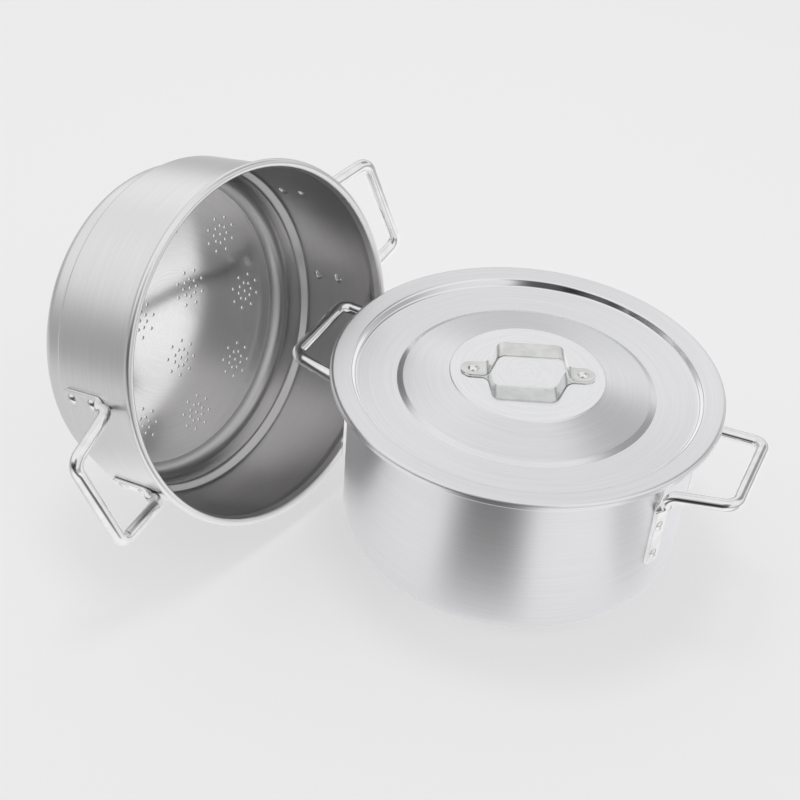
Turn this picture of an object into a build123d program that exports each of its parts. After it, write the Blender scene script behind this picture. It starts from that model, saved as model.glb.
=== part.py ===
from build123d import *
import os
from math import asin, atan2, cos, degrees, radians, sin, sqrt

# A steamer pot in millimetres: a pot with its lid on, and a steamer insert lying beside it
# Z is up, and the origin is the centre of the pot's base, on the surface that it stands on

# Sheet, fits and cuts that all pieces share
WALL = 2.0
LID_SHEET = 1.2
FIT = 0.05
TUCK = 0.2
OVERRUN = 6.0

# Pot: straight wall, rounded corner, flared top and rolled rim
VESSEL_RADIUS = 151.0
POT_HEIGHT = 160.3
POT_CORNER = 18.7
RIM_RADIUS = 3.5
FLARE = 1.5
FLARE_HEIGHT = 9.0
FLARE_BEND = 12.0

# Steamer insert: its skirt drops into the pot and its shoulder rests on the pot's rim
STEAMER_HEIGHT = 124.3
NEST_GAP = 5.0
SKIRT_HEIGHT = 28.0
SHOULDER_RISE = 4.0
SHOULDER_BEND = 2.0
STEAMER_CORNER = 13.0

# Steam holes: clusters in two rings about the middle, each cluster a centre hole and two rings
HOLE_RADIUS = 1.7
HOLE_RING = 8.0
HOLE_OUTER_RING = 16.0
HOLE_COUNT = 8
CLUSTER_RING = 37.0
CLUSTER_OUTER_RING = 96.0
CLUSTER_COUNT = 3
CLUSTER_OUTER_COUNT = 9
CLUSTER_ANGLE = -117.0

# Lid: a dished middle, a sunk pan and a rolled edge over the pot's rim
LID_RADIUS = 168.0
LID_SEAT = 0.3
LID_PLAY = 1.4
LID_EDGE_RADIUS = 2.0
LID_EDGE_DROP = 4.9
LID_FLANGE_RISE = 2.5
LID_PAN_FLARE = 3.0
LID_PAN_DEPTH = 6.5
LID_FLOOR_FALL = 2.2
LID_STEP_RADIUS = 105.7
LID_STEP_RUN = 5.1
LID_STEP_RISE = 2.2
LID_CONE_RISE = 8.2
LID_TOP_RADIUS = 66.0
LID_TOP_RUN = 1.0
LID_TOP_RISE = 0.7
LID_BEND = 2.0
LID_PAN_BEND = 3.0
LID_STEP_BEND = 1.2
LID_TOP_BEND = 0.5

# Lid handle: one strap bent up into a bridge between two rounded feet
STRAP = 2.0
STRAP_WIDTH = 19.0
STRAP_HALF = 57.5
STRAP_FOOT = 33.5
STRAP_BRIDGE = 26.0
STRAP_RISE = 22.0
STRAP_BEND = 6.5
STRAP_RIVET = 46.5
STRAP_ANGLE = 1.5

# Side handles: a rod bent into a rectangle, its ends flattened against the wall
ROD_RADIUS = 5.5
HANDLE_ROOT = 49.6
HANDLE_BAR = 45.4
HANDLE_REACH = 49.1
HANDLE_RISE = 7.7
HANDLE_BEND = 11.0
ROOT_BEND = 8.0
ROOT_DROP = 8.5
TAPER = 8.0
PLATE = 3.0
PLATE_WIDTH = 16.0
PLATE_ROUND = 5.0
POT_PLATE_LENGTH = 58.5
POT_RIVET_EDGE = 17.5
STEAMER_PLATE_LENGTH = 39.5
STEAMER_RIVET_EDGE = 5.5
POT_HANDLE_BELOW = 31.4
STEAMER_HANDLE_BELOW = 29.9
POT_HANDLE_ANGLE = -23.1
STEAMER_HANDLE_ANGLE = -75.1

# Rivets: a domed head outside and a low head inside
SHANK_RADIUS = 2.4
HEAD_RADIUS = 5.0
HEAD_RISE = 2.6
TAIL_RADIUS = 4.4
TAIL_RISE = 1.2
RIVET_END_EDGE = 10.0

# The steamer's rest: how far its mouth tips up, where it points, and its rim's gaps to the pot and its handle
REST_TILT = 14.85
REST_HEADING = -34.71
REST_GAP = 1.84
REST_LEG_GAP = 4.08

INNER_RADIUS = VESSEL_RADIUS - WALL
RIM_CENTRE = INNER_RADIUS + FLARE + RIM_RADIUS - TUCK
SKIRT_RADIUS = INNER_RADIUS - NEST_GAP
POT_ROOT = POT_HEIGHT - POT_HANDLE_BELOW
STEAMER_ROOT = STEAMER_HEIGHT - STEAMER_HANDLE_BELOW
POT_PLATE = (POT_PLATE_LENGTH, POT_RIVET_EDGE)
STEAMER_PLATE = (STEAMER_PLATE_LENGTH, STEAMER_RIVET_EDGE)


# Direction of each run of a line of corner points
def runs_of(points):
    return [(Vector(end) - Vector(start)).normalized() for start, end in zip(points, points[1:])]


# Corner points of a line moved sideways, to its left for a positive distance
def moved_points(points, distance):
    runs = runs_of(points)
    moved = []
    for point, first, second in zip(points, [runs[0]] + runs, runs + [runs[-1]]):
        reach = distance / (1 + first.dot(second))
        moved.append((point[0] - reach * (first.Y + second.Y), point[1] + reach * (first.X + second.X)))
    return moved


# Section of a bent sheet: a face line, its back line and a bend radius on the inside of each corner
def sheet_section(points, thickness, bends):
    runs = runs_of(points)
    face_bends = []
    back_bends = []
    for first, second, bend in zip(runs, runs[1:], bends):
        turn = first.X * second.Y - first.Y * second.X
        outside = bend + abs(thickness)
        inside_is_back = turn * thickness > 0
        face_bends.append(outside if inside_is_back else bend)
        back_bends.append(bend if inside_is_back else outside)
    face = FilletPolyline(*points, radius=face_bends)
    back = FilletPolyline(*moved_points(points, thickness), radius=back_bends)
    start = Line(face @ 0, back @ 0)
    end = Line(face @ 1, back @ 1)
    return make_face(face.edges() + end.edges() + back.edges() + start.edges())


# A section drawn as radius and height, turned about the upright axis
def turned(section):
    return revolve(Plane.XZ * section, axis=Axis.Z)


# Shell of the pot or the steamer from its outer line, with a flared top and a rolled rim
def vessel(points, bends, height):
    rim_height = height - RIM_RADIUS
    flare_foot = (VESSEL_RADIUS, rim_height - FLARE_HEIGHT)
    flare_top = (VESSEL_RADIUS + FLARE, rim_height)
    wall = sheet_section(points + [flare_foot, flare_top], WALL, bends + [FLARE_BEND])
    rim = Pos(RIM_CENTRE, rim_height) * Circle(RIM_RADIUS)
    return turned(wall + rim)


# Angle between a side handle's middle and each of its legs where they meet the wall
def root_angle():
    return asin(HANDLE_ROOT / VESSEL_RADIUS)


# Level plane at the wall's outer face, its Y axis pointing straight out from the wall
def wall_plane(angle, height):
    outward = Vector(cos(angle), sin(angle), 0)
    along = Vector(sin(angle), -cos(angle), 0)
    return Plane(origin=outward * VESSEL_RADIUS + Vector(0, 0, height), x_dir=along, z_dir=(0, 0, 1))


# Upright plane at the wall's outer face, its Z axis pointing straight out from the wall
def facing_plane(angle, height):
    level = wall_plane(angle, height)
    return Plane(origin=level.origin, x_dir=level.x_dir, z_dir=level.y_dir)


# Heights of a leg's two rivets above the leg's root, for a plate's length and its upper rivet's edge
def rivet_heights(plate):
    length, edge = plate
    plate_top = -ROOT_DROP - TAPER
    return {"upper": plate_top - edge, "lower": plate_top - length + RIVET_END_EDGE}


# Planes of a handle's four rivets at the wall's outer face, named by leg and level
def rivet_planes(plate):
    planes = {}
    for leg, angle in (("near", -root_angle()), ("far", root_angle())):
        for level, height in rivet_heights(plate).items():
            planes[f"{leg}_{level}"] = facing_plane(angle, height)
    return planes


# Round hole for a rivet's shank, running past the sheet and the plate
def rivet_hole(plane):
    return plane * Cylinder(SHANK_RADIUS + FIT, (WALL + PLATE + OVERRUN) * 2)


# One end of a side handle: the rod tapers to a flat plate that is riveted to the wall
def handle_plate(angle, length):
    taper_top = wall_plane(angle, -ROOT_DROP) * Pos(0, FIT + ROD_RADIUS) * Circle(ROD_RADIUS)
    plate_top = -ROOT_DROP - TAPER
    taper_end = wall_plane(angle, plate_top) * Pos(0, FIT + PLATE / 2) * Ellipse(PLATE_WIDTH / 2, PLATE / 2)
    middle = plate_top - length / 2
    outline = Rectangle(PLATE_WIDTH, length)
    outline = fillet(outline.vertices().group_by(Axis.Y)[-1], PLATE_ROUND)
    flat_end = facing_plane(angle, middle) * Pos(0, 0, FIT) * extrude(outline, PLATE)
    return loft([taper_end, taper_top]) + flat_end


# Corner points of a side handle's near leg, from below its root to the bar
def leg_corners():
    root = VESSEL_RADIUS + FIT + ROD_RADIUS
    x = root * cos(root_angle())
    y = -root * sin(root_angle())
    return [(x, y, -ROOT_DROP), (x, y, 0), (VESSEL_RADIUS + HANDLE_REACH, -HANDLE_BAR, HANDLE_RISE)]


# Side handle about the upright axis, level zero where its legs meet the wall, pointing along X
def side_handle(plate):
    angle = root_angle()
    leg = leg_corners()
    corners = leg + [(x, -y, z) for x, y, z in reversed(leg)]
    path = FilletPolyline(*corners, radius=[ROOT_BEND, HANDLE_BEND, HANDLE_BEND, ROOT_BEND])
    rod = sweep(Plane(origin=path @ 0, z_dir=path % 0) * Circle(ROD_RADIUS), path=path)
    handle = rod + handle_plate(-angle, plate[0]) + handle_plate(angle, plate[0])
    return handle - [rivet_hole(plane) for plane in rivet_planes(plate).values()]


# Rivet along Z: its head seats on level zero and its low head lies a grip below
def rivet(grip):
    seat = FIT
    tail_seat = -grip - FIT
    head = TangentArc((0, seat + HEAD_RISE), (HEAD_RADIUS, seat), tangent=(1, 0))
    shank = [(SHANK_RADIUS, seat), (SHANK_RADIUS, tail_seat)]
    sides = Polyline((HEAD_RADIUS, seat), *shank, (TAIL_RADIUS, tail_seat))
    tail = TangentArc((0, tail_seat - TAIL_RISE), (TAIL_RADIUS, tail_seat), tangent=(1, 0))
    middle = Line((0, tail_seat - TAIL_RISE), (0, seat + HEAD_RISE))
    return turned(make_face(head.edges() + sides.edges() + tail.edges() + middle.edges()))


# Rivet through a side handle's plate and the curved wall behind it
def wall_rivet(plane):
    hollow = INNER_RADIUS - sqrt(INNER_RADIUS ** 2 - TAIL_RADIUS ** 2)
    return plane * Pos(0, 0, FIT + PLATE) * rivet(FIT + PLATE + WALL + hollow)


# Handles of a vessel and their rivets, named by side, at a height and turned about the axis
def handle_set(prefix, sides, root_height, turn, plate):
    pieces = {}
    for index, side in enumerate(sides):
        place = Pos(0, 0, root_height) * Rot(0, 0, turn + index * 360 / len(sides))
        pieces[f"{prefix}_handle_{side}"] = place * side_handle(plate)
        for name, plane in rivet_planes(plate).items():
            pieces[f"{prefix}_rivet_{side}_{name}"] = place * wall_rivet(plane)
    return pieces


# Holes for all rivets of a vessel's handles
def handle_holes(sides, root_height, turn, plate):
    holes = []
    for index in range(len(sides)):
        place = Pos(0, 0, root_height) * Rot(0, 0, turn + index * 360 / len(sides))
        holes += [place * rivet_hole(plane) for plane in rivet_planes(plate).values()]
    return holes


# Places evenly spaced on a ring about a middle
def ring_places(count, radius, turn):
    return [Rot(0, 0, turn + 360 / count * number) * Pos(radius, 0) for number in range(count)]


# Pot shell, pierced for its rivets
def pot_shell(sides):
    shell = vessel([(0, 0), (VESSEL_RADIUS, 0)], [POT_CORNER], POT_HEIGHT)
    return shell - handle_holes(sides, POT_ROOT, POT_HANDLE_ANGLE, POT_PLATE)


# Holes of the steamer's base: a cluster at each place, and at each cluster a centre hole and its rings
def steam_holes():
    hole = Pos(0, 0, WALL / 2) * Cylinder(HOLE_RADIUS, WALL + OVERRUN)
    clusters = ring_places(CLUSTER_COUNT, CLUSTER_RING, CLUSTER_ANGLE)
    clusters += ring_places(CLUSTER_OUTER_COUNT, CLUSTER_OUTER_RING, CLUSTER_ANGLE)
    half_step = 180 / HOLE_COUNT
    spots = [Pos(0, 0)] + ring_places(HOLE_COUNT, HOLE_RING, 0)
    spots += ring_places(HOLE_COUNT, HOLE_OUTER_RING, half_step)
    return [cluster * spot * hole for cluster in clusters for spot in spots]


# Steamer shell upright on its base, pierced for steam and for its rivets
def steamer_shell(sides):
    shoulder = SKIRT_HEIGHT + SHOULDER_RISE
    points = [(0, 0), (SKIRT_RADIUS, 0), (SKIRT_RADIUS, SKIRT_HEIGHT), (VESSEL_RADIUS, shoulder)]
    shell = vessel(points, [STEAMER_CORNER, SHOULDER_BEND, SHOULDER_BEND], STEAMER_HEIGHT)
    rivet_holes = handle_holes(sides, STEAMER_ROOT, STEAMER_HANDLE_ANGLE, STEAMER_PLATE)
    return shell - rivet_holes - steam_holes()


# Corner points of the lid's upper face from its centre to its edge, seated over the pot's rim
def lid_points():
    foot_radius = INNER_RADIUS - LID_PLAY - LID_SHEET
    crest_radius = foot_radius + LID_PAN_FLARE
    slope = atan2(LID_FLANGE_RISE, LID_RADIUS - crest_radius)
    over_rim = POT_HEIGHT - RIM_RADIUS + (RIM_RADIUS + LID_SEAT + LID_SHEET) / cos(slope)
    crest = over_rim - (RIM_CENTRE - crest_radius) * sin(slope) / cos(slope)
    brow = crest + LID_FLANGE_RISE
    foot = crest - LID_PAN_DEPTH
    floor = foot - LID_FLOOR_FALL
    step = floor + LID_STEP_RISE
    cone = step + LID_CONE_RISE
    top = cone + LID_TOP_RISE
    return [
        (0, top),
        (LID_TOP_RADIUS, top),
        (LID_TOP_RADIUS + LID_TOP_RUN, cone),
        (LID_STEP_RADIUS, step),
        (LID_STEP_RADIUS + LID_STEP_RUN, floor),
        (foot_radius, foot),
        (crest_radius, crest),
        (LID_RADIUS, brow),
        (LID_RADIUS, brow - LID_EDGE_DROP),
    ]


# Lid shell: one bent sheet with a rolled edge, pierced for the strap's rivets
def lid_shell():
    points = lid_points()
    bends = [LID_TOP_BEND, LID_TOP_BEND, LID_STEP_BEND, LID_STEP_BEND, LID_PAN_BEND, LID_BEND, LID_BEND]
    sheet = sheet_section(points, -LID_SHEET, bends)
    edge = Pos(LID_RADIUS - LID_EDGE_RADIUS + TUCK, points[-1][1]) * Circle(LID_EDGE_RADIUS)
    hole = Cylinder(SHANK_RADIUS + FIT, (LID_SHEET + OVERRUN) * 2)
    return turned(sheet + edge) - [place * hole for place in strap_rivet_places()]


# Places of the lid handle's two rivets on the lid's flat top
def strap_rivet_places():
    top = lid_points()[0][1]
    return [Pos(0, 0, top) * Rot(0, 0, STRAP_ANGLE) * Pos(x, 0) for x in (-STRAP_RIVET, STRAP_RIVET)]


# Lid handle: a bent strap cut to rounded feet, and pierced for its rivets
def lid_handle():
    line = [
        (-STRAP_HALF, 0),
        (-STRAP_FOOT, 0),
        (-STRAP_BRIDGE, STRAP_RISE),
        (STRAP_BRIDGE, STRAP_RISE),
        (STRAP_FOOT, 0),
        (STRAP_HALF, 0),
    ]
    side = Plane.XZ * sheet_section(line, STRAP, [STRAP_BEND] * (len(line) - 2))
    strap = extrude(side, STRAP_WIDTH / 2, both=True)
    outline = extrude(SlotOverall(STRAP_HALF * 2, STRAP_WIDTH), STRAP_RISE + STRAP + OVERRUN, both=True)
    top = lid_points()[0][1]
    placed = Pos(0, 0, top + FIT) * Rot(0, 0, STRAP_ANGLE) * (strap & outline)
    hole = Cylinder(SHANK_RADIUS + FIT, (STRAP + OVERRUN) * 2)
    return placed - [place * hole for place in strap_rivet_places()]


# Rivets of the lid handle
def lid_rivets():
    pieces = {}
    for side, place in zip(("left", "right"), strap_rivet_places()):
        pieces[f"lid_rivet_{side}"] = place * Pos(0, 0, FIT + STRAP) * rivet(FIT + STRAP + LID_SHEET)
    return pieces


# How far beside the pot's axis the steamer's rim is centred, its inside passing the leg of the pot's handle
def rest_aside(rim_height):
    below, root, bar = leg_corners()
    leg = (Vector(root) + Vector(bar)) / 2
    facing = radians(POT_HANDLE_ANGLE + 180 - REST_HEADING)
    leg_aside = leg.X * sin(facing) + leg.Y * cos(facing)
    drop = (rim_height - POT_ROOT - leg.Z) / cos(radians(REST_TILT))
    half_chord = sqrt(max((RIM_CENTRE - RIM_RADIUS) ** 2 - drop ** 2, 0))
    return leg_aside + ROD_RADIUS + REST_LEG_GAP - half_chord


# How far before the pot's axis the steamer's rim is centred, its nearest point a gap from the pot's wall
def rest_ahead(aside):
    clear = VESSEL_RADIUS + REST_GAP + RIM_RADIUS
    needed = []
    for step in range(360):
        side = aside + RIM_CENTRE * sin(radians(step))
        if abs(side) < clear:
            lean = RIM_CENTRE * cos(radians(step)) * sin(radians(REST_TILT))
            needed.append(lean + sqrt(clear ** 2 - side ** 2))
    return max(needed)


# Where the steamer lies: tipped, turned, let down until its shell touches the surface, and beside the pot
def rest_plane(shell):
    tilt = radians(REST_TILT)
    heading = radians(REST_HEADING)
    level = Vector(cos(heading), sin(heading), 0)
    beside = Vector(-sin(heading), cos(heading), 0)
    mouthward = level * cos(tilt) + Vector(0, 0, sin(tilt))
    downward = level * sin(tilt) - Vector(0, 0, cos(tilt))
    hung = Plane(origin=(0, 0, 0), x_dir=downward, z_dir=mouthward)
    base_height = -(hung * shell).bounding_box().min.Z
    to_rim = STEAMER_HEIGHT - RIM_RADIUS
    aside = rest_aside(base_height + to_rim * sin(tilt))
    behind = rest_ahead(aside) + to_rim * cos(tilt)
    base = beside * aside - level * behind + Vector(0, 0, base_height)
    return Plane(origin=base, x_dir=downward, z_dir=mouthward)


def main():
    os.makedirs("parts", exist_ok=True)
    pot_sides = ("right", "left")
    pieces = {"pot_shell": pot_shell(pot_sides)}
    pieces |= handle_set("pot", pot_sides, POT_ROOT, POT_HANDLE_ANGLE, POT_PLATE)
    pieces |= {"lid_shell": lid_shell(), "lid_handle": lid_handle()}
    pieces |= lid_rivets()
    steamer_sides = ("lower", "upper")
    steamer = {"steamer_shell": steamer_shell(steamer_sides)}
    steamer |= handle_set("steamer", steamer_sides, STEAMER_ROOT, STEAMER_HANDLE_ANGLE, STEAMER_PLATE)
    rest = rest_plane(steamer["steamer_shell"])
    print("steamer rests with its base centre at", rest.origin)
    pieces |= {name: rest * piece for name, piece in steamer.items()}
    for name, piece in pieces.items():
        export_step(piece, f"parts/{name}.step")


main()
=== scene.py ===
import logging
from dataclasses import dataclass, field
from enum import Enum
from typing import Callable, Iterable, Sequence, Union

import bmesh
import bpy
import numpy as np
from mathutils import Matrix, Vector
from mathutils.geometry import delaunay_2d_cdt
from numpy.typing import NDArray


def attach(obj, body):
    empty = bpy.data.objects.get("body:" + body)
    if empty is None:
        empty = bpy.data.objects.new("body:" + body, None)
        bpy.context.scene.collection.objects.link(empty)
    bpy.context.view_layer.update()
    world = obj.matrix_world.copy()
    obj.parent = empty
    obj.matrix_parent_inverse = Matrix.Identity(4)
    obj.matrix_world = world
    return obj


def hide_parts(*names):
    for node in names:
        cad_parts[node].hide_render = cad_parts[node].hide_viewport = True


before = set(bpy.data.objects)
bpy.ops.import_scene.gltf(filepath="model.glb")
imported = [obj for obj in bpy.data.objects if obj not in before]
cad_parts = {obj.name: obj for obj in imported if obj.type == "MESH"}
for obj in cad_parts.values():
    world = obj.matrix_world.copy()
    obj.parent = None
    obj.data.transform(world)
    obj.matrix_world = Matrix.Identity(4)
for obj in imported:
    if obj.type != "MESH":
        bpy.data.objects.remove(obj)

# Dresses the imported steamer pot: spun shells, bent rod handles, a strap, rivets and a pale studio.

Array = NDArray[np.float64]
Index = NDArray[np.int64]
Material, World = bpy.types.Material, bpy.types.World
Node, Socket, Piece = bpy.types.Node, bpy.types.NodeSocket, bpy.types.Object
Number = Union["Value", float]
LOG = logging.getLogger("steamer_pot")
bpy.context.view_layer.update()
TAU = 2.0 * np.pi
UP = np.array([0.0, 0.0, 1.0])
ARC_STEPS = 14.0
ROLL_STEPS = 28
SECTION_SIDES = 28
STRAP_SIDES = 40
DOME_STEPS = 10
FINE_STEP = 0.001
COARSE_STEP = 0.006
TINY = 1e-9
DRIFT_SHARE = 0.3
DRIFT_FINENESS = 25.0
DRIFT_GRAIN = 0.6
GROOVE_DEPTH = 0.0002
ZONE_EDGE = 0.0006
STRETCH_TURN = 0.25
WELD = 2e-6
SHORTEST_EDGE = 1e-7
SHARP = float(np.radians(38.0))
FIT = 0.00005
SHEET = 0.002
VESSEL_RADIUS = 0.151
POT_HEIGHT = 0.1603
RIM_RADIUS = 0.0035
STEAMER_HEIGHT = 0.1243
POT_HANDLE_BELOW = 0.0314
STEAMER_HANDLE_BELOW = 0.0299
TAIL_RADIUS = 0.0044
TUCK = 0.0002


class Bead(Enum):
    """Which way round a rolled edge's outline goes."""

    ANTICLOCKWISE = 1
    CLOCKWISE = -1


# Shapes


@dataclass
class Surface:
    """Faces over a set of points, with flat coordinates for the finishes.

    Args:
        points: one row of x, y and z for each point.
        corners: the point of each face corner, face after face.
        sizes: how many corners each face has.
        flat: one row of two flat coordinates for each face corner.
    """

    points: Array
    corners: Index
    sizes: Index
    flat: Array

    def face_of_corner(self) -> tuple[Index, Index]:
        """Returns each corner's face number and its place within that face."""
        starts = np.cumsum(self.sizes) - self.sizes
        faces = np.repeat(np.arange(len(self.sizes)), self.sizes)
        return faces, np.arange(len(self.corners)) - starts[faces]

    def volume(self) -> float:
        """Returns the enclosed volume: a sixth of the triple product of each fan triangle, summed."""
        faces, offset = self.face_of_corner()
        starts = np.cumsum(self.sizes) - self.sizes
        following = starts[faces] + (offset + 1) % self.sizes[faces]
        first = self.points[self.corners[starts]][faces]
        here = self.points[self.corners]
        ahead = self.points[self.corners[following]]
        return float(np.einsum("ij,ij->", first, np.cross(here, ahead)) / 6.0)

    def turned_over(self) -> "Surface":
        """Returns the surface with every face's corners in the other order."""
        faces, offset = self.face_of_corner()
        starts = np.cumsum(self.sizes) - self.sizes
        order = starts[faces] + self.sizes[faces] - 1 - offset
        return Surface(self.points, self.corners[order], self.sizes, self.flat[order])

    def outward(self) -> "Surface":
        """Returns the surface with its faces pointing out, so that it encloses a volume above zero."""
        return self if self.volume() >= 0.0 else self.turned_over()

    def placed(self, place: Array) -> "Surface":
        """Returns the surface turned and moved by a four by four place."""
        moved = self.points @ place[:3, :3].T + place[:3, 3]
        return Surface(moved, self.corners, self.sizes, self.flat)

    def joined(self, other: "Surface") -> "Surface":
        """Returns this surface and another as one."""
        return Surface(
            np.vstack([self.points, other.points]),
            np.concatenate([self.corners, other.corners + len(self.points)]),
            np.concatenate([self.sizes, other.sizes]),
            np.vstack([self.flat, other.flat]),
        )


def unit(vectors: Array) -> Array:
    """Returns each vector divided by its own length."""
    return vectors / np.linalg.norm(vectors, axis=-1, keepdims=True)


def walked_length(points: Array) -> Array:
    """Returns how far along a line each of its points lies."""
    return np.concatenate([[0.0], np.cumsum(np.linalg.norm(np.diff(points, axis=0), axis=1))])


def even_turn(count: int) -> Array:
    """Returns angles that divide a full turn evenly."""
    return np.linspace(0.0, TAU, count, endpoint=False)


def on_circle(angle: Array) -> Array:
    """Returns the cosine and sine of each angle."""
    return np.stack([np.cos(angle), np.sin(angle)], axis=-1)


def smooth(share: Array) -> Array:
    """Returns an even rise from 0 to 1: three squares less two cubes of the clipped share."""
    held = np.clip(share, 0.0, 1.0)
    return held * held * (3.0 - 2.0 * held)


def rounded_line(points: Array, radii: Sequence[float], spacing: float) -> Array:
    """Walks a line of corner points with an arc at each corner.

    At a corner with turn t and radius r the arc starts r times tan(t / 2) before the corner. Its
    points are the arc's start, plus r sin(a) along the first run, plus r (1 - cos(a)) towards the
    inside of the turn, for a from 0 to t. Straight stretches are divided evenly.

    Args:
        points: the corner points, in two or three dimensions.
        radii: one radius for each inner corner.
        spacing: the longest step on a straight stretch.

    Returns:
        The points of the walked line.
    """
    runs = unit(np.diff(points, axis=0))
    stretches = []
    here = points[0]
    for corner, before, after, radius in zip(points[1:-1], runs, runs[1:], radii):
        turn = float(np.arccos(np.clip(before @ after, -1.0, 1.0)))
        start = corner - before * radius * np.tan(turn / 2.0)
        inward = unit(after - before * (before @ after))
        angle = np.linspace(0.0, turn, 3 + int(turn * ARC_STEPS))[:, None]
        arc = start + before * radius * np.sin(angle) + inward * radius * (1.0 - np.cos(angle))
        stretches += [straight(here, start, spacing), arc[:-1]]
        here = arc[-1]
    stretches += [straight(here, points[-1], spacing), points[-1:]]
    return np.vstack(stretches)


def straight(start: Array, end: Array, spacing: float) -> Array:
    """Returns even steps from start up to, but not at, end, none longer than spacing."""
    count = max(1, int(np.ceil(np.linalg.norm(end - start) / spacing)))
    share = np.linspace(0.0, 1.0, count, endpoint=False)[:, None]
    return start + (end - start) * share


def moved_corners(points: Array, distance: float) -> Array:
    """Moves a flat line sideways with mitred corners.

    Each point moves by the sum of its two runs' left normals, times the distance, over one plus
    the runs' dot product.

    Args:
        points: the flat corner points.
        distance: how far to the left, or to the right where it is negative.

    Returns:
        The moved corner points.
    """
    runs = unit(np.diff(points, axis=0))
    before = np.vstack([runs[:1], runs])
    after = np.vstack([runs, runs[-1:]])
    left = np.stack([-(before + after)[:, 1], (before + after)[:, 0]], axis=1)
    return points + left * distance / (1.0 + np.sum(before * after, axis=1, keepdims=True))


def bent_sheet(
    points: Array, thickness: float, bends: Sequence[float], spacing: float
) -> tuple[Array, Array]:
    """Rounds the two sides of a bent sheet about the same bend centres.

    Args:
        points: corner points of the sheet's face line.
        thickness: how far the back line lies to the left, or to the right where negative.
        bends: the inside radius of each bend.
        spacing: the longest step on a straight stretch.

    Returns:
        The face line and the back line.
    """
    runs = unit(np.diff(points, axis=0))
    turns = runs[:-1, 0] * runs[1:, 1] - runs[:-1, 1] * runs[1:, 0]
    inside = np.asarray(bends)
    outside = inside + abs(thickness)
    back_is_inside = turns * thickness > 0.0
    face = rounded_line(points, np.where(back_is_inside, outside, inside), spacing)
    back_radii = np.where(back_is_inside, inside, outside)
    return face, rounded_line(moved_corners(points, thickness), back_radii, spacing)


def cut_at_circle(line: Array, centre: Array, radius: float) -> Array:
    """Ends a line that runs into a circle where it first meets it.

    The meeting share s of the crossing run solves |start + s run - centre| = radius.

    Args:
        line: the flat line, whose last point lies in the circle.
        centre: the circle's centre.
        radius: the circle's radius.

    Returns:
        The line up to and including the meeting point.
    """
    inside = np.linalg.norm(line - centre, axis=1) < radius
    last = int(np.argmax(inside))
    start = line[last - 1]
    run = line[last] - start
    away = start - centre
    square, cross, rest = run @ run, away @ run, away @ away - radius * radius
    share = (-cross - np.sqrt(cross * cross - square * rest)) / square
    return np.vstack([line[:last], start + run * share])


def rolled_outline(face: Array, back: Array, centre: Array, radius: float, way: Bead) -> Array:
    """Closes a bent sheet's section with a rolled edge.

    Args:
        face: the sheet's face line, running into the roll.
        back: the sheet's back line, running into the roll.
        centre: the roll's centre.
        radius: the roll's radius.
        way: which way round the outline passes the roll, from the face to the back.

    Returns:
        The closed outline: the face, the roll's arc and the back in reverse.
    """
    out = cut_at_circle(face, centre, radius)
    home = cut_at_circle(back, centre, radius)
    first = np.arctan2(*(out[-1] - centre)[::-1])
    last = np.arctan2(*(home[-1] - centre)[::-1])
    span = (last - first) * way.value % TAU * way.value
    angle = first + np.linspace(0.0, span, ROLL_STEPS + 1)[1:-1]
    return np.vstack([out, centre + radius * on_circle(angle), home[::-1]])


def grid(points: Array, flat: Array, wrap_rows: bool, wrap_columns: bool) -> Surface:
    """Joins a grid of points with four-cornered faces.

    Args:
        points: rows by columns of points.
        flat: flat coordinates, one row or column more where the grid wraps.
        wrap_rows: whether the last row joins the first.
        wrap_columns: whether the last column joins the first.

    Returns:
        The surface over the grid.
    """
    rows, columns = points.shape[:2]
    row, column = np.meshgrid(
        np.arange(rows if wrap_rows else rows - 1),
        np.arange(columns if wrap_columns else columns - 1),
        indexing="ij",
    )
    around = [(row, column), (row + 1, column), (row + 1, column + 1), (row, column + 1)]
    quads = np.stack([down % rows * columns + across % columns for down, across in around], axis=-1)
    corners = np.stack([flat[down, across] for down, across in around], axis=-2)
    sizes = np.full(row.size, 4, dtype=np.int64)
    return Surface(points.reshape(-1, 3), quads.ravel().astype(np.int64), sizes, corners.reshape(-1, 2))


def lathe(outline: Array, sides: int, closed: bool) -> Surface:
    """Turns an outline about Z.

    A point of radius r and height z comes to r cos(a), r sin(a), z at angle a. The flat
    coordinates are the share of the turn and the length along the outline.

    Args:
        outline: radius and height of each point.
        sides: how many steps a full turn takes.
        closed: whether the outline's last point joins its first.

    Returns:
        The turned surface.
    """
    angle = np.linspace(0.0, TAU, sides + 1)
    radius, height = outline[:, 0, None], outline[:, 1, None]
    around = angle[None, :-1]
    points = np.stack([radius * np.cos(around), radius * np.sin(around), height + 0.0 * around], axis=-1)
    loop = np.vstack([outline, outline[:1]]) if closed else outline
    length = walked_length(loop)
    flat = np.stack(np.broadcast_arrays(angle[None, :] / TAU, length[:, None]), axis=-1)
    return grid(points, flat, closed, True)


def oval(width: Array, thickness: Array, power: Array, count: int) -> Array:
    """Works out a section for each station, from a circle to a rounded rectangle.

    At angle a the point is half the width times cos(a), and half the thickness times sin(a), each
    cosine and sine raised in size to two over the power.

    Args:
        width: each station's width.
        thickness: each station's thickness.
        power: 2 for an ellipse, and more for squarer sections.
        count: how many points each section has.

    Returns:
        Stations by points by two coordinates.
    """
    angle = even_turn(count)[None, :]
    share = 2.0 / power[:, None]
    across = np.sign(np.cos(angle)) * np.abs(np.cos(angle)) ** share * width[:, None] / 2.0
    through = np.sign(np.sin(angle)) * np.abs(np.sin(angle)) ** share * thickness[:, None] / 2.0
    return np.stack([across, through], axis=-1)


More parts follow.
